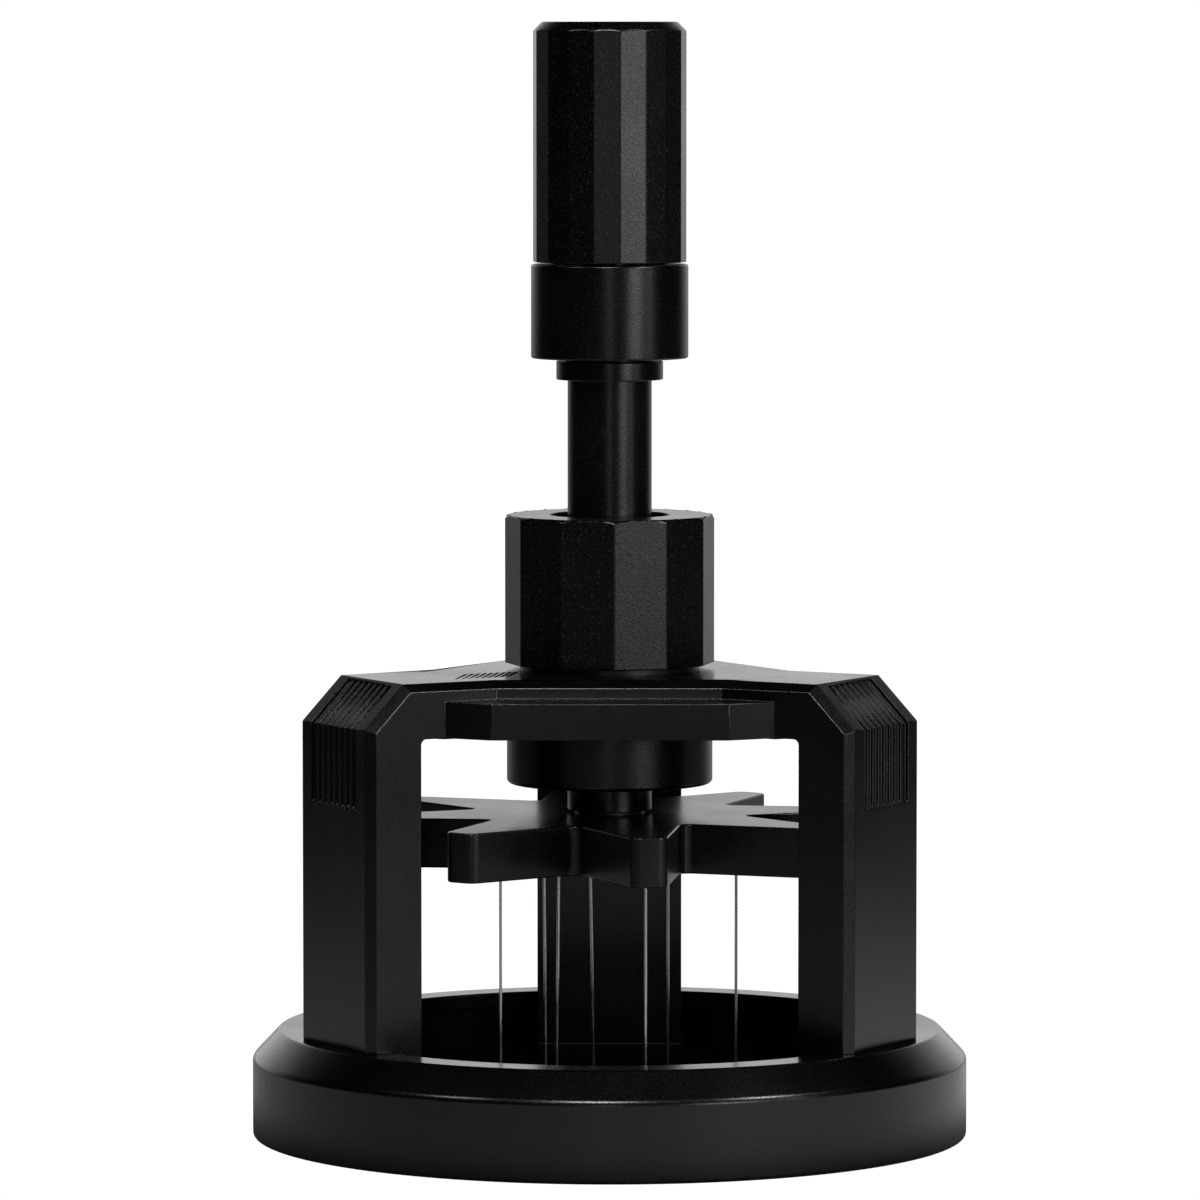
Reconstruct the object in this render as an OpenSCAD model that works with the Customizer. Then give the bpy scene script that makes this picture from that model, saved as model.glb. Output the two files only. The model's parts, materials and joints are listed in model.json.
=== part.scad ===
// Needle coffee distributor: a base ring carries a three-legged frame, a sleeve slides through the
// frame's hub and is held by a lock nut, and a grip spins a star of fine needles inside the sleeve.
// Millimetres. The origin is the centre of the base's underside, +Z is up, and -Y is the front.

/* [Base ring] */
// Outer diameter of the base ring
base_d = 74; // [72:0.5:80]
// Height of the base ring
base_h = 11.1; // [10.8:0.1:12]
// Diameter of the recess that drops over the rim of the coffee basket
recess_d = 70.4; // [68:0.1:70.8]
// Depth of that recess
recess_h = 4; // [3:0.1:4.2]
// Diameter of the opening through the base ring
base_bore_d = 61.2; // [60:0.1:62]
// Outer diameter of the flat face on top of the base ring
base_flat_d = 68.5; // [67:0.1:70]
// Height at which the slope of the base ring starts
base_slope_z = 8.2; // [7.6:0.1:8.8]

/* [Frame] */
// Width of a leg
leg_w = 15.4; // [14:0.1:16]
// Distance from the axis to the inner face of a leg
leg_in = 26.4; // [26.2:0.1:27]
// Distance from the axis to the outer face of a leg
leg_out = 32.4; // [32:0.1:32.8]
// Height of the top of the frame
frame_top = 48.4; // [48:0.1:50]
// Thickness of the hub plate and of the arms
plate_h = 5.6; // [5:0.05:6]
// Height at which a leg bends into its sloping shoulder
shoulder_z = 43.9; // [43:0.1:45]
// Distance from the axis to the top of the shoulder
shoulder_r = 27.9; // [27.5:0.1:29]
// Depth of the bevel along the leg and arm edges, square to the outer face
edge_deep = 0.8; // [0.5:0.1:1.2]
// Width of that bevel, along the outer face
edge_wide = 1; // [0.8:0.1:1.6]

/* [Grip pads on the shoulders] */
// Width of the ribbed recess
pad_w = 9.6; // [8:0.1:10]
// Depth of the ribbed recess
pad_deep = 0.4; // [0.3:0.05:0.8]
// Height of the lower end of the recess
pad_z = 35.6; // [30:0.1:38]
// Number of ribs
ribs = 7; // [3:1:7]
// Spacing of the ribs
rib_pitch = 1.2; // [1.1:0.05:1.3]
// Width of a rib
rib_w = 0.6; // [0.4:0.05:0.7]

/* [Hub plate] */
// Distance from the axis to each flat of the raised hub, at its top edge
hub_flat = 14.5; // [14:0.1:15]
// Distance from the axis to the front face of the ledge around the hub
ledge_r = 21; // [20.5:0.1:21.5]
// Height of the top of the ledge
ledge_z = 46.5; // [46:0.05:47]
// Half length of the middle facet of the ledge
ledge_half = 12; // [10:0.1:13]

/* [Lock nut and collet] */
// Distance from the axis to a corner of the twelve-sided lock nut
nut_r = 10.84; // [10.5:0.01:11.2]
// Height of the top of the lock nut
nut_top = 64.35; // [63.5:0.05:64.7]
// Radius of the hole in the top of the lock nut
nut_hole_r = 6.2; // [6.1:0.05:6.5]
// Turn of the lock nut's corners from the front
nut_turn = 2.4; // [0:0.1:30]
// Radius of the round ring under the hub plate
ring_r = 10.64; // [9:0.01:11]
// Height of the underside of that ring
ring_z = 36.55; // [36.55:0.05:38]

/* [Sleeve] */
// Radius of the sliding sleeve tube
tube_r = 4.35; // [4.35]
// Height of the lower end of the tube
tube_z = 33.8; // [33.8]
// Radius of the flange under the bearing collar
flange_r = 5.52; // [5:0.01:5.9]
// Height of the flange's underside
flange_z = 78.3; // [77:0.1:78.4]
// Radius of the bearing collar
collar_r = 8.12; // [7.8:0.01:8.6]
// Height of the bearing collar's underside
collar_z = 80.5; // [80.5]
// Height of the bearing collar
collar_h = 9.7; // [9.5:0.05:9.8]

/* [Grip] */
// Distance from the axis to a corner of the grip
grip_r = 7.92; // [7.5:0.01:8.5]
// Number of flat faces on the grip
grip_sides = 18; // [14:1:24]
// Height of the grip's underside
grip_z = 90.4; // [90.4:0.05:91]
// Height of the top of the grip
grip_top = 115.1; // [115:0.1:120]
// Bevel around the top of the grip
grip_bevel = 0.95; // [0.5:0.05:1.2]
// Turn of the grip's corners from the front
grip_turn = 7.7; // [0:0.1:20]

/* [Star plate and needles] */
// Number of arms on the star plate, one needle each
arms = 8; // [8]
// Height of the star plate's underside
star_z = 28.35; // [28.35]
// Thickness of the star plate
star_h = 5.1; // [5.1]
// Distance from the axis to the tips of the star's arms
star_tip_r = 26; // [24.5:0.1:26.1]
// Distance from the axis to the notches between the arms
star_notch_r = 13.9; // [12:0.1:15]
// Width of an arm at its tip
star_tip_w = 3.4; // [2.6:0.1:4]
// Turn of the star's first arm from the front
star_turn = 9; // [0:0.5:44]
// Diameter of a needle
needle_d = 0.3; // [0.25:0.05:0.5]
// Height of the needle tips
needle_tip_z = 4.4; // [4.3:0.1:12]

/* [Hidden] */
$fn = 96;

anodised = [0.05, 0.05, 0.055];
black_oxide = [0.09, 0.09, 0.1];
steel = [0.78, 0.79, 0.8];
bronze = [0.68, 0.5, 0.28];
rubber = [0.03, 0.03, 0.03];
polymer = [0.05, 0.05, 0.05];

leg_angles = [90, 210, 330];
front = 270;
eps = 0.01;

// Base ring: the lip round its opening, the well under the lip, and the lugs that the legs stand on
base_lip_z = 9.4;
well_r = 33.5;
lug_top = 6;
screw_at_r = 28.5;
screw_r = 1;
screw_head_r = 1.9;
screw_head_h = 1;
screw_reach = 8;
screw_key = 1.3;
screw_key_deep = 0.7;

// Frame
plate_z = frame_top - plate_h;
leg_half = leg_w / 2;
window_fillet = 0.6;
leg_joint_play = 0.05;
slope_angle = atan2(shoulder_z - frame_top, leg_out - shoulder_r);
slope_normal = [-sin(slope_angle), cos(slope_angle)];
slope_along = [cos(slope_angle), sin(slope_angle)];
// Drop of the ledge's slanted facets, and the distance at which they run into the arms' side faces
ledge_slant = 2.5;
ledge_side = (ledge_r - ledge_slant - leg_half * cos(30)) / tan(30) - leg_half * sin(30);
pad_start = 0.35;
tick_count = 9;
tick_size = [0.32, 6.5, 0.2];
tick_pitch = 0.75;
tick_from = [12.4, 1.5];
tick_lean = -39;

// Collet, lock nut and clamp ring
shank_r = 7;
slide_play = 0.05;
collet_bore_r = tube_r + slide_play;
collet_flange_r = 9.3;
collet_flange_h = 2;
boss_r = 7.9;
boss_top = 57;
cone_z = 57.2;
cone_r = 7.15;
collet_top = 60.8;
collet_top_r = 6.05;
slot_w = 0.8;
slot_z = 52.5;
bush_h = 5;
bush_wall = 1;
o_ring_r = 0.5;
o_ring_z = [43.4, 46.2];
nut_z = 48.6;
nut_foot_r = 9.7;
nut_foot_top = 51.2;
thread_play = 0.08;
nut_bore_r = boss_r + thread_play;
nut_ceiling = 61.4;
clamp_z = 58.2;
clamp_play = 0.16;

// Sleeve and bearing
flange_top = flange_z + 1.9;
spindle_r = 2;
spigot_r = 4.6;
spigot_top = 83.6;
tube_bore_r = 2.6;
lower_bush_r = 3.2;
lower_bush_h = 8;
spin_play = 0.04;
seat_z = 84.6;
bearing_r = 6;
bearing_h = 4;
outer_race_in_r = 4.7;
inner_race_r = 3.3;
ball_r = 1;
ball_circle_r = 4;
ball_play = 0.04;
balls = 7;
cage_in_r = 3.72;
cage_out_r = 4.28;
cage_h = 2.6;
retainer_in_r = 4.8;
retainer_h = 0.8;
collar_hole_r = 4.2;

// Grip and spindle
grip_foot_r = 3.2;
grip_bore_top = 112;
spindle_top = grip_bore_top;
grip_screw_r = 1.5;
grip_screw_len = 8;
grip_head_r = 2.75;
grip_head_h = 2.7;
grip_key_deep = 1.5;
grip_well_r = 3.1;
hex_key = 2.5;
clip_h = 0.5;
clip_r = 3.5;
clip_groove_r = 1.6;

// Star plate, its screw and the needles
washer_h = 0.3;
washer_r = 3.6;
star_top = star_z + star_h;
star_tip_fillet = 1.2;
star_notch_fillet = 1;
spindle_foot = star_z + 2.4;
star_screw_r = 1.25;
star_screw_len = 8;
star_head_r = 2.4;
star_head_h = 1.3;
star_key = 1.5;
star_key_deep = 0.9;
needle_r = needle_d / 2;
needle_hold = 3;
needle_taper_h = 1.2;
// Distance of each needle from the axis: they sweep rings that together cover the basket
needle_reach = [23, 16, 21, 10.4, 13.5, 8.5, 5.3, 18.9];
// Lean of each needle from upright, in degrees: fine wires never hang quite straight
needle_lean = [0, 0, 0, 0, -1, -0.5, 0.6, 0];

// Points of an outline with every corner p[i] rounded to radius r[i] by an arc of n steps
function unit(v) = v / norm(v);
function arc_at(a, p, b, r, n) =
    r <= 0 ? [p] :
    let (u = unit(a - p), v = unit(b - p), half = acos(u * v) / 2,
         reach = r / tan(half), mid = p + unit(u + v) * r / sin(half),
         from = p + u * reach - mid, to = p + v * reach - mid,
         start = atan2(from.y, from.x), sweep0 = atan2(to.y, to.x) - start,
         sweep = sweep0 > 180 ? sweep0 - 360 : sweep0 < -180 ? sweep0 + 360 : sweep0)
    [for (i = [0:n]) mid + r * [cos(start + sweep * i / n), sin(start + sweep * i / n)]];
function rounded(p, r, n = 6) =
    [for (i = [0:len(p) - 1])
        each arc_at(p[(i + len(p) - 1) % len(p)], p[i], p[(i + 1) % len(p)], r[i], n)];

function polar(r, a) = r * [cos(a), sin(a)];

// A round solid of radius r from height z0 to z1
module disc(r, z0, z1) {
    translate([0, 0, z0]) cylinder(r = r, h = z1 - z0);
}

// A round solid with a hole
module washer(r_out, r_in, z0, z1) {
    difference() {
        disc(r_out, z0, z1);
        disc(r_in, z0 - 1, z1 + 1);
    }
}

// A round taper from radius r0 at z0 to radius r1 at z1
module taper(r0, r1, z0, z1) {
    translate([0, 0, z0]) cylinder(r1 = r0, r2 = r1, h = z1 - z0);
}

// A six-sided socket for a key of the given width
module hex_socket(key, z0, z1) {
    translate([0, 0, z0]) cylinder(d = key / cos(30), h = z1 - z0, $fn = 6);
}

// Cross-section in (radius, height) turned about the axis
module turned(points) {
    rotate_extrude() polygon(points);
}

// ---------- base ring ----------

module base_ring() {
    r_in = base_bore_d / 2;
    r_out = base_d / 2;
    profile = rounded(
        [[recess_d / 2, 0], [r_out, 0], [r_out, base_slope_z], [base_flat_d / 2, base_h],
         [r_in, base_h], [r_in, base_lip_z], [well_r, base_lip_z], [well_r, recess_h],
         [recess_d / 2, recess_h]],
        [0, 0.4, 1, 0.5, 0.15, 0, 0, 0, 0], 5);
    color(anodised) difference() {
        union() {
            turned(profile);
            for (a = leg_angles) rotate(a) intersection() {
                translate([leg_in, -leg_half, recess_h])
                    cube([base_d / 2 - leg_in, leg_w, lug_top - recess_h]);
                disc(well_r + 0.5, recess_h, lug_top);
            }
        }
        for (a = leg_angles) rotate(a) translate([screw_at_r, 0, 0]) {
            disc(screw_r, recess_h - 1, lug_top + 1);
            taper(screw_head_r, screw_r, recess_h, recess_h + screw_head_h);
        }
    }
}

module base_screws() {
    color(black_oxide) for (a = leg_angles) rotate(a) translate([screw_at_r, 0, 0]) difference() {
        union() {
            taper(screw_head_r, screw_r, recess_h, recess_h + screw_head_h);
            disc(screw_r, recess_h + screw_head_h - eps, recess_h + screw_reach);
        }
        hex_socket(screw_key, recess_h - 1, recess_h + screw_key_deep);
    }
}

// ---------- frame ----------

// Side view of one arm and leg, as (radius, height)
function leg_profile() = rounded(
    [[0, plate_z], [leg_in, plate_z], [leg_in, lug_top], [leg_out, lug_top],
     [leg_out, shoulder_z], [shoulder_r, frame_top], [0, frame_top]],
    [0, window_fillet, 0, 0, 0, 0, 0]);

// Stretch of shoulder and leg between two depths under the outer face, as (radius, height)
function shoulder_band(deep_in, deep_out, z_low) =
    let (top = [shoulder_r, frame_top] + slope_along * pad_start,
         level = top * slope_normal,
         bend_in = [leg_out - deep_in,
                    (level - deep_in - slope_normal.x * (leg_out - deep_in)) / slope_normal.y],
         bend_out = [leg_out - deep_out,
                     (level - deep_out - slope_normal.x * (leg_out - deep_out)) / slope_normal.y])
    [top - slope_normal * deep_in, bend_in, [leg_out - deep_in, z_low + deep_in],
     [leg_out - deep_out, z_low + deep_out], bend_out, top - slope_normal * deep_out];

// Extrudes a side view across the leg
module across(width, points) {
    rotate([90, 0, 0]) linear_extrude(width, center = true) polygon(points);
}

// Bevels both long edges of the face that starts at (r, z) and runs at the given angle
module bevel_edges(r, z, angle) {
    length = 90;
    far = 2;
    for (side = [0, 1]) mirror([0, side, 0])
        translate([r, 0, z]) rotate([0, -angle, 0]) translate([-length / 2, 0, 0])
            rotate([90, 0, 90]) linear_extrude(length)
                polygon([[leg_half - edge_wide * (1 + far), edge_deep * far],
                         [leg_half + edge_wide * far, -edge_deep * (1 + far)],
                         [leg_half + edge_wide * far, edge_deep * far]]);
}

module leg() {
    difference() {
        across(leg_w, leg_profile());
        bevel_edges(0, frame_top, 0);
        bevel_edges(shoulder_r, frame_top, slope_angle);
        bevel_edges(leg_out, shoulder_z, -90);
        across(pad_w, shoulder_band(pad_deep, -1, pad_z));
    }
    for (i = [0:ribs - 1]) translate([0, (i - (ribs - 1) / 2) * rib_pitch, 0])
        across(rib_w, shoulder_band(pad_deep + 0.2, 0.1, pad_z));
}

// The raised hub: a triangle with cut corners, bevelled along its three long flats
module hub_core() {
    reach = hub_flat + edge_wide;
    corner_r = 20;
    half = (2 * reach - corner_r) * tan(30);
    length = 60;
    far = 2;
    difference() {
        translate([0, 0, plate_z]) linear_extrude(plate_h)
            polygon([for (a = leg_angles) for (side = [-half, half])
                polar(corner_r, a) + polar(side, a + 90)]);
        for (a = leg_angles) rotate(a - 30) translate([-length / 2, 0, frame_top])
            rotate([90, 0, 90]) linear_extrude(length)
                polygon([[reach - edge_wide * (1 + far), edge_deep * far],
                         [reach + edge_wide * far, -edge_deep * (1 + far)],
                         [reach + edge_wide * far, edge_deep * far]]);
    }
}

// The lower ledge round the hub: a long middle facet and two slanted ones between each pair of arms
module ledge() {
    slant = ledge_slant / (ledge_side - ledge_half);
    into_arm = 1.7;
    end = [ledge_side + into_arm, ledge_r - ledge_slant - slant * into_arm];
    translate([0, 0, plate_z]) linear_extrude(ledge_z - plate_z)
        for (a = leg_angles) rotate(a - 30)
            polygon([[0, 0], [-end.x, end.y], [-ledge_half, ledge_r], [ledge_half, ledge_r], end]);
}

// Slanted tally marks, cut into the top of one arm
module tally_marks() {
    for (i = [0:tick_count - 1])
        translate([tick_from.x + i * tick_pitch, tick_from.y, frame_top - tick_size.z]) rotate(tick_lean)
            translate([-tick_size.x / 2, -tick_size.y / 2, 0])
                cube([tick_size.x, tick_size.y, 1]);
}

module frame() {
    color(anodised) difference() {
        union() {
            for (a = leg_angles) rotate(a) leg();
            hub_core();
            ledge();
        }
        disc(shank_r, plate_z - 1, frame_top + 1);
        // Each foot drops into the base's opening and rests on its top face
        difference() {
            disc(leg_out + 5, lug_top - 1, base_h);
            disc(base_bore_d / 2 - leg_joint_play, lug_top - 2, base_h + 1);
        }
        for (a = leg_angles) rotate(a) translate([screw_at_r, 0, 0])
            disc(screw_r, lug_top - 1, recess_h + screw_reach + 0.5);
        rotate(leg_angles[1]) tally_marks();
    }
}

// ---------- collet, lock ring and guides ----------

module collet_body() {
    color(black_oxide) difference() {
        union() {
            disc(shank_r, ring_z, frame_top + eps);
            disc(collet_flange_r, frame_top, frame_top + collet_flange_h);
            disc(boss_r, frame_top + collet_flange_h - eps, boss_top);
            disc(cone_r, boss_top - eps, cone_z);
            taper(cone_r, collet_top_r, cone_z, collet_top);
        }
        disc(collet_bore_r, ring_z - 1, collet_top + 1);
        disc(collet_bore_r + bush_wall, ring_z - 1, ring_z + bush_h);
        for (z = o_ring_z) disc(collet_bore_r + 2 * o_ring_r + 0.05, z - o_ring_r - 0.05,
                                z + o_ring_r + 0.05);
        for (a = [0, 90]) rotate(a + 45)
            translate([-boss_r - 1, -slot_w / 2, slot_z]) cube([2 * boss_r + 2, slot_w, 20]);
    }
}

module hub_lock_ring() {
    bevel = 0.3;
    color(anodised) turned(
        [[shank_r, ring_z], [ring_r - bevel, ring_z], [ring_r, ring_z + bevel],
         [ring_r, plate_z], [shank_r, plate_z]]);
}

module guide_bush() {
    color(bronze) washer(collet_bore_r + bush_wall, collet_bore_r, ring_z, ring_z + bush_h);
}

module guide_o_rings() {
    color(rubber) for (z = o_ring_z) translate([0, 0, z])
        rotate_extrude() translate([collet_bore_r + o_ring_r, 0]) circle(r = o_ring_r, $fn = 24);
}

module clamp_ring() {
    slope = (cone_r - collet_top_r) / (collet_top - cone_z);
    mouth_r = cone_r - slope * (clamp_z - cone_z) + clamp_play;
    throat_r = collet_top_r + clamp_play;
    top = nut_ceiling - 0.05;
    color(steel) turned(
        [[mouth_r, clamp_z], [boss_r, clamp_z], [boss_r, top], [throat_r, top],
         [throat_r, collet_top]]);
}

module lock_nut() {
    color(anodised) rotate(front + nut_turn) difference() {
        intersection() {
            translate([0, 0, nut_z]) cylinder(r = nut_r, h = nut_top - nut_z, $fn = 12);
            taper(nut_r + 15, nut_r - 0.35, nut_top - 15.35, nut_top);
            taper(nut_r - 0.2, nut_r + 20, nut_z, nut_z + 20.2);
        }
        disc(nut_foot_r, nut_z - 1, nut_foot_top);
        disc(nut_bore_r, nut_z, nut_ceiling);
        disc(nut_hole_r, nut_z, nut_top + 1);
    }
}

// ---------- sleeve and bearing ----------

module sleeve_tube() {
    color(anodised) difference() {
        union() {
            disc(tube_r, tube_z, flange_z + eps);
            disc(flange_r, flange_z, flange_top);
            disc(spigot_r, flange_top - eps, spigot_top);
        }
        disc(tube_bore_r, tube_z - 1, spigot_top + 1);
        disc(lower_bush_r, tube_z - 1, tube_z + lower_bush_h);
    }
}

module bearing_collar() {
    color(anodised) difference() {
        disc(collar_r, collar_z, collar_z + collar_h);
        disc(spigot_r, collar_z - 1, spigot_top);
        disc(collar_hole_r, collar_z, seat_z + 1);
        disc(bearing_r, seat_z, collar_z + collar_h + 1);
    }
}

module ball_track() {
    translate([0, 0, seat_z + bearing_h / 2]) rotate_extrude()
        translate([ball_circle_r, 0]) circle(r = ball_r + ball_play, $fn = 32);
}

module bearing_outer_race() {
    color(steel) difference() {
        washer(bearing_r, outer_race_in_r, seat_z, seat_z + bearing_h);
        ball_track();
    }
}

module bearing_inner_race() {
    color(steel) difference() {
        washer(inner_race_r, spindle_r, seat_z, seat_z + bearing_h);
        ball_track();
    }
}

module at_balls() {
    for (i = [0:balls - 1]) rotate(i * 360 / balls)
        translate([ball_circle_r, 0, seat_z + bearing_h / 2]) children();
}

module bearing_balls() {
    color(steel) at_balls() sphere(r = ball_r, $fn = 32);
}

module bearing_cage() {
    mid = seat_z + bearing_h / 2;
    color(bronze) difference() {
        washer(cage_out_r, cage_in_r, mid - cage_h / 2, mid + cage_h / 2);
        at_balls() rotate([0, 90, 0])
            cylinder(r = ball_r + ball_play, h = 2, center = true, $fn = 32);
    }
}

module bearing_retainer() {
    color(black_oxide) washer(bearing_r, retainer_in_r, seat_z + bearing_h,
                              seat_z + bearing_h + retainer_h);
}

module lower_bush() {
    color(bronze) washer(lower_bush_r, spindle_r + spin_play, tube_z, tube_z + lower_bush_h);
}

// ---------- grip and spindle ----------

module spindle() {
    clip_top = seat_z;
    color(steel) difference() {
        disc(spindle_r, spindle_foot, spindle_top);
        washer(spindle_r + 1, clip_groove_r, clip_top - clip_h, clip_top);
        disc(star_screw_r, spindle_foot - 1, star_z + star_screw_len + 0.5);
        disc(grip_screw_r, spindle_top - grip_screw_len - 0.5, spindle_top + 1);
    }
}

module handle_grip() {
    z_foot = seat_z + bearing_h;
    corners = [for (k = [0:grip_sides - 1]) polar(grip_r, front + grip_turn + k * 360 / grip_sides)];
    color(anodised) difference() {
        union() {
            disc(grip_foot_r, z_foot, grip_z + eps);
            intersection() {
                translate([0, 0, grip_z]) linear_extrude(grip_top - grip_z) polygon(corners);
                taper(grip_r + 30, grip_r - grip_bevel, grip_top - 30 - grip_bevel, grip_top);
            }
        }
        disc(spindle_r, z_foot - 1, grip_bore_top);
        disc(grip_screw_r, grip_bore_top - 1, grip_bore_top + 1);
        disc(grip_well_r, grip_bore_top, grip_top + 1);
    }
}

module grip_screw() {
    color(black_oxide) difference() {
        union() {
            disc(grip_head_r, grip_bore_top, grip_bore_top + grip_head_h);
            disc(grip_screw_r, grip_bore_top - grip_screw_len, grip_bore_top + eps);
        }
        hex_socket(hex_key, grip_bore_top + grip_head_h - grip_key_deep, grip_top + 1);
    }
}

module spindle_clip() {
    color(black_oxide) difference() {
        washer(clip_r, clip_groove_r, seat_z - clip_h, seat_z);
        translate([0, -1.1, seat_z - 2]) cube([clip_r + 1, 2.2, 4]);
    }
}

module thrust_washer() {
    color(polymer) washer(washer_r, spindle_r + 0.05, star_top, star_top + washer_h);
}

// ---------- star plate and needles ----------

function arm_angle(k) = front + star_turn + k * 360 / arms;

function star_outline() =
    let (half = star_tip_w / 2,
         points = [for (k = [0:arms - 1]) each
             [polar(star_notch_r, arm_angle(k) - 180 / arms),
              polar(star_tip_r, arm_angle(k)) - half * polar(1, arm_angle(k) + 90),
              polar(star_tip_r, arm_angle(k)) + half * polar(1, arm_angle(k) + 90)]],
         radii = [for (k = [0:arms - 1]) each [star_notch_fillet, star_tip_fillet, star_tip_fillet]])
    rounded(points, radii, 5);

module star_plate() {
    color(anodised) difference() {
        translate([0, 0, star_z]) linear_extrude(star_h) polygon(star_outline());
        disc(spindle_r, spindle_foot, star_top + 1);
        disc(star_screw_r, star_z - 1, spindle_foot + 1);
        taper(star_head_r, star_screw_r, star_z, star_z + star_head_h);
        for (k = [0:arms - 1]) at_needle(k) disc(needle_r, -needle_hold - 1, 0);
    }
}

module star_screw() {
    color(black_oxide) difference() {
        union() {
            taper(star_head_r, star_screw_r, star_z, star_z + star_head_h);
            disc(star_screw_r, star_z + star_head_h - eps, star_z + star_screw_len);
        }
        hex_socket(star_key, star_z - 1, star_z + star_key_deep);
    }
}

// The top end of needle k, inside the star plate
module at_needle(k) {
    translate([0, 0, star_z + needle_hold]) translate(polar(needle_reach[k], arm_angle(k)))
        rotate([0, needle_lean[k], 0]) children();
}

module needle(k) {
    tip = needle_tip_z - star_z - needle_hold;
    color(steel) at_needle(k) {
        disc(needle_r, tip + needle_taper_h, 0);
        taper(needle_r / 3, needle_r, tip, tip + needle_taper_h + eps);
    }
}

base_ring();
frame();
base_screws();
collet_body();
hub_lock_ring();
guide_bush();
guide_o_rings();
clamp_ring();
lock_nut();
sleeve_tube();
bearing_collar();
bearing_outer_race();
bearing_retainer();
lower_bush();
bearing_cage();
bearing_balls();
spindle();
handle_grip();
grip_screw();
bearing_inner_race();
spindle_clip();
thrust_washer();
star_plate();
star_screw();
needle(0);  // needle_1
needle(1);  // needle_2
needle(2);  // needle_3
needle(3);  // needle_4
needle(4);  // needle_5
needle(5);  // needle_6
needle(6);  // needle_7
needle(7);  // needle_8
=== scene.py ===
"""The looks of the needle coffee distributor: finishes, softened edges, studio light and camera.

Everything is in metres in the CAD frame: the base stands on z = 0 and -Y is the front.
"""

import json
import math

import bpy
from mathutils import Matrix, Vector


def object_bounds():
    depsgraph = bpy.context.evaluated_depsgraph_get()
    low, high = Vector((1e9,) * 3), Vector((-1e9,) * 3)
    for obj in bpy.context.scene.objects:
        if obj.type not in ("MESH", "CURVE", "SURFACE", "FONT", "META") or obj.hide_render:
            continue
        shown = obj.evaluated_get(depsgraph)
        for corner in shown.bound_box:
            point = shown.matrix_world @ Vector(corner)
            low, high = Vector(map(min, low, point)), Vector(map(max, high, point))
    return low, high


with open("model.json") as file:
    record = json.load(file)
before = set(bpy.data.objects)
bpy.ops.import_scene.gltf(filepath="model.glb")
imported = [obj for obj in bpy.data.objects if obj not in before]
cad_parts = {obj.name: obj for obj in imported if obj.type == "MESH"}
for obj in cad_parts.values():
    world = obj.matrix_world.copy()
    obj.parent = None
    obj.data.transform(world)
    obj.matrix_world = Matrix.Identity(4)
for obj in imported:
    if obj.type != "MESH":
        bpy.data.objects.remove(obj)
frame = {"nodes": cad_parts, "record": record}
cad_low, cad_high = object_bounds()
nodes = frame["nodes"]
scene = bpy.context.scene

MM = 0.001

# ---------- node helpers ----------


class Graph:
    """A material's node tree, with short calls for the nodes that the finishes share."""

    def __init__(self, name):
        self.material = bpy.data.materials.new(name)
        self.material.use_nodes = True
        self.tree = self.material.node_tree
        self.tree.nodes.clear()
        self.shader = self.tree.nodes.new("ShaderNodeBsdfPrincipled")
        output = self.tree.nodes.new("ShaderNodeOutputMaterial")
        self.link(self.shader.outputs["BSDF"], output.inputs["Surface"])
        self.place = self.tree.nodes.new("ShaderNodeTexCoord").outputs["Object"]

    def link(self, source, target):
        self.tree.links.new(source, target)

    def fixed(self, **values):
        """Sets constants on the shader's own sockets."""
        for name, value in values.items():
            self.shader.inputs[name.replace("_", " ")].default_value = value

    def stretched(self, x, y, z):
        """Object coordinates scaled along each axis."""
        mapping = self.tree.nodes.new("ShaderNodeMapping")
        mapping.inputs["Scale"].default_value = (x, y, z)
        self.link(self.place, mapping.inputs["Vector"])
        return mapping.outputs["Vector"]

    def noise(self, grain, detail=3.0, roughness=0.5, vector=None):
        """Noise whose blobs are about grain metres across."""
        node = self.tree.nodes.new("ShaderNodeTexNoise")
        node.inputs["Scale"].default_value = 1 / grain
        node.inputs["Detail"].default_value = detail
        node.inputs["Roughness"].default_value = roughness
        self.link(vector or self.place, node.inputs["Vector"])
        return node.outputs["Fac"]

    def cells(self, grain):
        """Distance to the nearest of many points about grain metres apart."""
        node = self.tree.nodes.new("ShaderNodeTexVoronoi")
        node.inputs["Scale"].default_value = 1 / grain
        self.link(self.place, node.inputs["Vector"])
        return node.outputs["Distance"]

    def ramp(self, value, low, high, at_low, at_high):
        """Maps value from low..high to at_low..at_high, clamped."""
        node = self.tree.nodes.new("ShaderNodeMapRange")
        node.inputs["From Min"].default_value = low
        node.inputs["From Max"].default_value = high
        node.inputs["To Min"].default_value = at_low
        node.inputs["To Max"].default_value = at_high
        self.link(value, node.inputs["Value"])
        return node.outputs["Result"]

    def math(self, operation, a, b):
        node = self.tree.nodes.new("ShaderNodeMath")
        node.operation = operation
        for socket, value in zip(node.inputs, (a, b)):
            if isinstance(value, (int, float)):
                socket.default_value = value
            else:
                self.link(value, socket)
        return node.outputs["Value"]

    def mix(self, factor, first, second):
        """Blends two colours by a factor."""
        node = self.tree.nodes.new("ShaderNodeMix")
        node.data_type = "RGBA"
        self.link(factor, node.inputs["Factor"])
        for socket, colour in ((node.inputs[6], first), (node.inputs[7], second)):
            if isinstance(colour, tuple):
                socket.default_value = (*colour, 1)
            else:
                self.link(colour, socket)
        return node.outputs[2]

    def bump(self, height, depth, normal=None):
        """Surface normal for a height field of the given depth in metres."""
        node = self.tree.nodes.new("ShaderNodeBump")
        node.inputs["Strength"].default_value = 1.0
        node.inputs["Distance"].default_value = depth
        self.link(height, node.inputs["Height"])
        if normal is not None:
            self.link(normal, node.inputs["Normal"])
        return node.outputs["Normal"]

    def set(self, **sources):
        """Links node outputs to the shader's sockets."""
        for name, source in sources.items():
            self.link(source, self.shader.inputs[name.replace("_", " ")])


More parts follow.
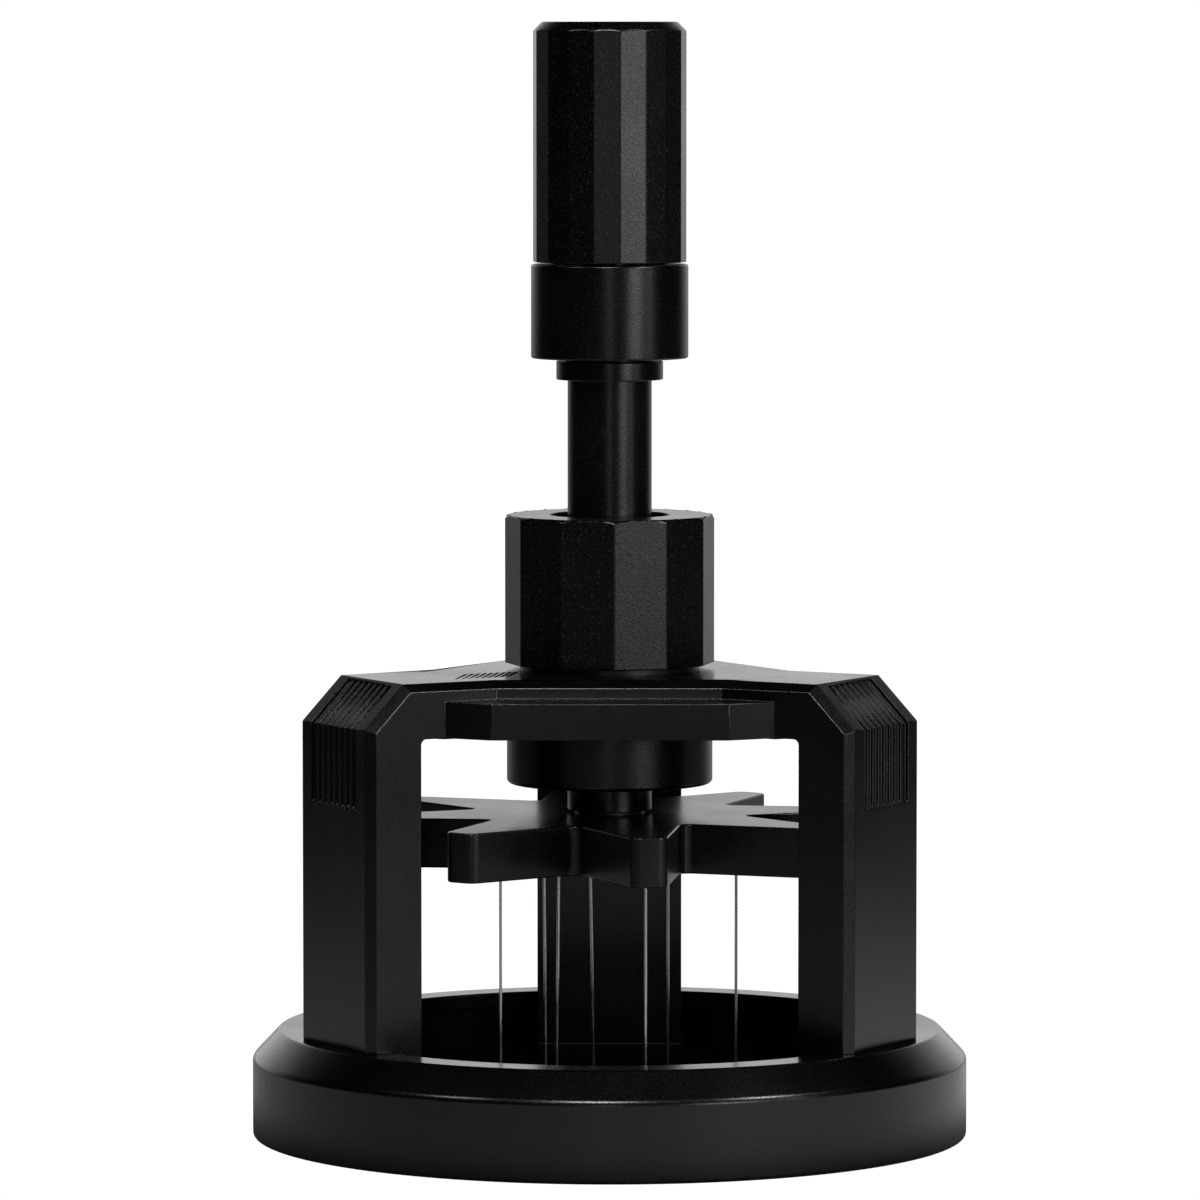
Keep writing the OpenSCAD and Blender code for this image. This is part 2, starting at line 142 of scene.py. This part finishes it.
# ---------- finishes ----------


def anodised(name, dark, light, grain, depth, rough, glint_paint):
    """Bead-blasted aluminium, anodised black: fine pitted grain, painted glints (sparse light grey specks
    in the base colour), and faint cloudiness.
    """
    g = Graph(name)
    g.fixed(Metallic=0.0, IOR=1.5)
    cloud = g.noise(9 * MM, detail=2)
    fine = g.noise(grain, detail=4, roughness=0.65)
    pits = g.cells(grain * 1.6)
    # Painted glints: sparse specks where the base colour turns light grey, standing in for sparkle of light
    # off the blasted grain
    painted_glints = g.ramp(g.noise(grain * 0.9, detail=1), 0.66, 0.74, 0, 1)
    tone = g.mix(g.ramp(cloud, 0.35, 0.65, 0, 1), dark, light)
    g.set(
        Base_Color=g.mix(g.math("MULTIPLY", painted_glints, glint_paint), tone, (0.5, 0.5, 0.51)),
        Roughness=g.math("ADD", g.ramp(fine, 0.3, 0.7, rough - 0.07, rough + 0.07),
                         g.ramp(cloud, 0.3, 0.7, -0.02, 0.02)),
        Normal=g.bump(pits, depth * 0.5, g.bump(fine, depth)),
    )
    return g.material


def blackened_steel():
    """Black oxide on steel: nearly smooth, with an oily unevenness."""
    g = Graph("blackened_steel")
    g.fixed(Metallic=0.6, IOR=1.6)
    cloud = g.noise(2.5 * MM)
    fine = g.noise(0.25 * MM)
    g.set(
        Base_Color=g.mix(g.ramp(cloud, 0.3, 0.7, 0, 1), (0.012, 0.012, 0.014), (0.035, 0.034, 0.036)),
        Roughness=g.ramp(cloud, 0.3, 0.7, 0.28, 0.42),
        Normal=g.bump(fine, 0.01 * MM),
    )
    return g.material


def ground_steel(name, tone, along):
    """Ground or drawn steel: fine lines round the axis, or along it for wire."""
    g = Graph(name)
    g.fixed(Metallic=1.0)
    across = (600, 600, 18000) if not along else (18000, 18000, 300)
    lines = g.noise(1.0, detail=3, vector=g.stretched(*across))
    cloud = g.noise(4 * MM)
    dark = tuple(0.82 * c for c in tone)
    g.set(
        Base_Color=g.mix(g.ramp(cloud, 0.3, 0.7, 0, 1), dark, tone),
        Roughness=g.ramp(lines, 0.3, 0.7, 0.18, 0.34),
        Normal=g.bump(lines, 0.004 * MM),
    )
    return g.material


def bronze():
    """Sintered bronze: open pores and a warm, uneven tone."""
    g = Graph("bronze")
    g.fixed(Metallic=1.0)
    pores = g.cells(0.22 * MM)
    cloud = g.noise(1.5 * MM)
    g.set(
        Base_Color=g.mix(g.ramp(cloud, 0.3, 0.7, 0, 1), (0.36, 0.2, 0.075), (0.58, 0.36, 0.15)),
        Roughness=g.ramp(pores, 0.1, 0.5, 0.55, 0.36),
        Normal=g.bump(pores, 0.03 * MM),
    )
    return g.material


def rubber():
    """Matt black rubber with a dusty bloom."""
    g = Graph("rubber")
    bloom = g.noise(0.8 * MM)
    g.set(
        Base_Color=g.mix(g.ramp(bloom, 0.4, 0.7, 0, 1), (0.012, 0.012, 0.012), (0.035, 0.035, 0.034)),
        Roughness=g.ramp(bloom, 0.3, 0.7, 0.6, 0.8),
        Normal=g.bump(g.noise(0.12 * MM), 0.01 * MM),
    )
    return g.material


def black_polymer():
    """Waxy low-friction sheet, dyed black."""
    g = Graph("black_polymer")
    cloud = g.noise(1.2 * MM)
    g.set(
        Base_Color=g.mix(g.ramp(cloud, 0.3, 0.7, 0, 1), (0.006, 0.006, 0.006), (0.012, 0.012, 0.012)),
        Roughness=g.ramp(cloud, 0.3, 0.7, 0.4, 0.52),
        Normal=g.bump(g.noise(0.1 * MM), 0.004 * MM),
    )
    return g.material


# The black of each anodised piece, as two tones that the cloudiness blends
BLACK = (0.0004, 0.0004, 0.00045)
BLACK_LIGHT = (0.001, 0.001, 0.0011)

# The last number of each anodised finish sets how strongly its painted glints show
FINISHES = {
    "anodised_body": anodised("anodised_body", BLACK, BLACK_LIGHT, 0.16 * MM, 0.0015 * MM, 0.24, 0.02),
    "anodised_turned": anodised("anodised_turned", BLACK, BLACK_LIGHT, 0.13 * MM, 0.006 * MM, 0.26, 0.08),
    "anodised_faceted": anodised("anodised_faceted", BLACK, BLACK_LIGHT, 0.15 * MM, 0.009 * MM, 0.27, 0.12),
    "anodised_star": anodised("anodised_star", BLACK, BLACK_LIGHT, 0.15 * MM, 0.0015 * MM, 0.28, 0.02),
    "blackened_steel": blackened_steel(),
    "bright_steel": ground_steel("bright_steel", (0.62, 0.63, 0.65), along=False),
    "needle_steel": ground_steel("needle_steel", (0.72, 0.73, 0.75), along=True),
    "bronze": bronze(),
    "rubber": rubber(),
    "black_polymer": black_polymer(),
}

# ---------- CAD nodes: edges and finishes ----------


# How far apart two points may be and still be one, and how flat two faces must meet to be one
WELD_GAP = 0.002 * MM
FLAT_ANGLE = 0.3
# An edge that bends by more than this many degrees is rounded; the grip's facets meet at only 20
EDGE_ANGLE = 28
GRIP_EDGE_ANGLE = 14


def soften(node, width, angle):
    """Breaks a CAD node's sharp edges with a small round, as deburring and blasting do."""
    piece = nodes[node]
    weld = piece.modifiers.new("weld", "WELD")
    weld.merge_threshold = WELD_GAP
    flats = piece.modifiers.new("flats", "DECIMATE")
    flats.decimate_type = "DISSOLVE"
    flats.angle_limit = math.radians(FLAT_ANGLE)
    edges = piece.modifiers.new("edges", "BEVEL")
    edges.width = width
    edges.segments = 3
    edges.limit_method = "ANGLE"
    edges.angle_limit = math.radians(angle)
    edges.use_clamp_overlap = False
    normals = piece.modifiers.new("normals", "WEIGHTED_NORMAL")
    normals.weight = 60
    normals.keep_sharp = False


for row in frame["record"]["subparts"]:
    piece = nodes[row["node"]]
    finish = FINISHES[row["material_slot"]]
    piece.data.materials.clear()
    piece.data.materials.append(finish)

# Width of the round on each piece whose edges show
EDGE = {
    "base_ring": 0.25 * MM,
    "frame": 0.09 * MM,
    "hub_lock_ring": 0.12 * MM,
    "lock_nut": 0.14 * MM,
    "sleeve_tube": 0.1 * MM,
    "bearing_collar": 0.22 * MM,
    "handle_grip": 0.14 * MM,
    "star_plate": 0.2 * MM,
}
for node, width in EDGE.items():
    soften(node, width, GRIP_EDGE_ANGLE if node == "handle_grip" else EDGE_ANGLE)

# ---------- floor, light and camera ----------

# What the camera sees of the floor and cove: a little over 1, so that it comes out pure white
WHITE = 1.05
# Painted bounce light: brightness that the floor's glow sends up beside the object, far from it, and what
# it gains behind it
FLOOR_NEAR = 0.6
FLOOR_FAR = 0.02
FLOOR_BACK = 0.5
# How much of that painted bounce light is left on the left-hand side, which is the darker one
FLOOR_LEFT = 0.45
# Half the floor's side, and the distances from the centre over which its brightness changes, in metres
FLOOR_HALF = 3.0
FLOOR_FADE = (0.07, 0.35)
FLOOR_BACK_RISE = (0.05, 0.5)
# Inside and under the base ring the floor's glow fades to nothing: a painted shadow
UNDER_BASE = (0.032, 0.06)
# Directions, as the Y of a unit vector, between which the cove goes from dark to white
COVE_FRONT = 0.55
COVE_BACK = 0.97
COVE_DARK = 0.005
# Heights, as the Z of a unit vector, between which the cove fades, and what is left overhead
COVE_FADE = (0.15, 0.7)
COVE_TOP = 0.1
# The camera looks level with the grip's top, down at the object's middle; places are in metres
CAMERA_LENS = 235.6
CAMERA_AT = Vector((-1.0, -809.5, 115.5)) * MM
CAMERA_AIM = Vector((-1.0, 0, 55.47)) * MM


def aim(thing, target):
    """Turns a light or camera to face a point."""
    thing.rotation_euler = (Vector(target) - thing.location).to_track_quat("-Z", "Y").to_euler()


def smooth(tree, value, low, high, at_low, at_high):
    """Maps value from low..high to at_low..at_high with eased ends."""
    node = tree.nodes.new("ShaderNodeMapRange")
    node.interpolation_type = "SMOOTHSTEP"
    for name, number in (("From Min", low), ("From Max", high), ("To Min", at_low), ("To Max", at_high)):
        node.inputs[name].default_value = number
    tree.links.new(value, node.inputs["Value"])
    return node.outputs["Result"]


def floor():
    """A white floor to the eye; to the object it glows with painted bounce light, which fades out with
    distance in front, is weaker on the left, and is cut out under the base as painted shadow.
    """
    mesh = bpy.data.meshes.new("floor")
    corners = [(x * FLOOR_HALF, y * FLOOR_HALF, 0) for x, y in ((-1, -1), (1, -1), (1, 1), (-1, 1))]
    mesh.from_pydata(corners, [], [(0, 1, 2, 3)])
    plane = bpy.data.objects.new("floor", mesh)
    scene.collection.objects.link(plane)
    g = Graph("floor")
    g.fixed(Base_Color=(0.05, 0.05, 0.05, 1), Roughness=0.9, Specular_IOR_Level=0.0)
    tree, link = g.tree, g.link
    distance = tree.nodes.new("ShaderNodeVectorMath")
    distance.operation = "LENGTH"
    bearing = tree.nodes.new("ShaderNodeVectorMath")
    bearing.operation = "NORMALIZE"
    axes = tree.nodes.new("ShaderNodeSeparateXYZ")
    for node in (distance, bearing):
        link(g.place, node.inputs[0])
    link(bearing.outputs["Vector"], axes.inputs["Vector"])
    away = distance.outputs["Value"]
    # The glow is painted bounce light, strongest near the object and behind it
    near = smooth(tree, away, *FLOOR_FADE, FLOOR_NEAR, FLOOR_FAR)
    behind = g.math("MULTIPLY", smooth(tree, axes.outputs["Y"], COVE_FRONT, COVE_BACK, 0, FLOOR_BACK),
                    smooth(tree, away, *FLOOR_BACK_RISE, 0, 1))
    # Painted shade: less of the glow on the left-hand side
    aside = smooth(tree, axes.outputs["X"], -1, 1, FLOOR_LEFT, 1)
    # Painted shadow: no glow inside and under the base ring
    clear_of_painted_shadow = smooth(tree, away, *UNDER_BASE, 0, 1)
    glow = tree.nodes.new("ShaderNodeEmission")
    link(g.math("MULTIPLY", g.math("ADD", near, behind), g.math("MULTIPLY", aside, clear_of_painted_shadow)),
         glow.inputs["Strength"])
    white = tree.nodes.new("ShaderNodeEmission")
    white.inputs["Strength"].default_value = WHITE
    for shader in (glow, white):
        shader.inputs["Color"].default_value = (1, 1, 1, 1)
    both = tree.nodes.new("ShaderNodeAddShader")
    link(g.shader.outputs["BSDF"], both.inputs[0])
    link(glow.outputs["Emission"], both.inputs[1])
    pick = tree.nodes.new("ShaderNodeMixShader")
    link(tree.nodes.new("ShaderNodeLightPath").outputs["Is Camera Ray"], pick.inputs["Fac"])
    link(both.outputs["Shader"], pick.inputs[1])
    link(white.outputs["Emission"], pick.inputs[2])
    link(pick.outputs["Shader"], tree.nodes["Material Output"].inputs["Surface"])
    mesh.materials.append(g.material)


def surroundings():
    """A white cove behind the object that darkens towards the front; the eye sees white all round."""
    world = bpy.data.worlds.new("cove")
    scene.world = world
    world.use_nodes = True
    tree = world.node_tree
    tree.nodes.clear()
    axes = tree.nodes.new("ShaderNodeSeparateXYZ")
    lit = tree.nodes.new("ShaderNodeBackground")
    white = tree.nodes.new("ShaderNodeBackground")
    pick = tree.nodes.new("ShaderNodeMixShader")
    output = tree.nodes.new("ShaderNodeOutputWorld")
    link = tree.links.new
    link(tree.nodes.new("ShaderNodeTexCoord").outputs["Generated"], axes.inputs["Vector"])
    low = smooth(tree, axes.outputs["Z"], *COVE_FADE, 1, COVE_TOP)
    fade = tree.nodes.new("ShaderNodeMath")
    fade.operation = "MULTIPLY"
    link(smooth(tree, axes.outputs["Y"], COVE_FRONT, COVE_BACK, COVE_DARK, 1), fade.inputs[0])
    link(low, fade.inputs[1])
    link(fade.outputs["Value"], lit.inputs["Strength"])
    white.inputs["Strength"].default_value = WHITE
    for shader in (lit, white):
        shader.inputs["Color"].default_value = (1, 1, 1, 1)
    link(tree.nodes.new("ShaderNodeLightPath").outputs["Is Camera Ray"], pick.inputs["Fac"])
    link(lit.outputs["Background"], pick.inputs[1])
    link(white.outputs["Background"], pick.inputs[2])
    link(pick.outputs["Shader"], output.inputs["Surface"])


def softbox(name, azimuth, elevation, distance, width, height, watts):
    """A soft light; azimuth 0 is straight in front of the object and positive is to the right."""
    light = bpy.data.lights.new(name, "AREA")
    light.shape = "RECTANGLE"
    light.size = width
    light.size_y = height
    light.energy = watts
    lamp = bpy.data.objects.new(name, light)
    scene.collection.objects.link(lamp)
    a, e = math.radians(azimuth), math.radians(elevation)
    middle = Vector((0, 0, (cad_low.z + cad_high.z) / 2))
    towards = Vector((math.sin(a) * math.cos(e), -math.cos(a) * math.cos(e), math.sin(e)))
    lamp.location = middle + distance * towards
    aim(lamp, middle)


def camera():
    """A long lens level with the grip's top, aimed at the middle of the object."""
    data = bpy.data.cameras.new("camera")
    data.sensor_width = 36
    data.lens = CAMERA_LENS
    data.clip_start = 0.05
    data.clip_end = 20
    view = bpy.data.objects.new("camera", data)
    scene.collection.objects.link(view)
    view.location = CAMERA_AT
    aim(view, CAMERA_AIM)
    scene.camera = view


floor()
surroundings()
# Low and dim enough that the flat tops don't flare when they are seen from behind
softbox("key", azimuth=38, elevation=6, distance=0.9, width=0.3, height=0.2, watts=0.85)
softbox("side", azimuth=60, elevation=6, distance=0.9, width=0.14, height=0.6, watts=0.4)
softbox("front", azimuth=-1, elevation=4, distance=1.1, width=0.16, height=0.24, watts=0.16)
# Small and high: they draw the bright lines along the upper edges
softbox("edge_right", azimuth=60, elevation=42, distance=0.9, width=0.14, height=0.2, watts=2.4)
softbox("edge_front", azimuth=-6, elevation=45, distance=0.9, width=0.25, height=0.15, watts=3.2)
softbox("edge_left", azimuth=-60, elevation=42, distance=0.9, width=0.14, height=0.2, watts=0.8)
camera()
scene.view_settings.view_transform = "Standard"
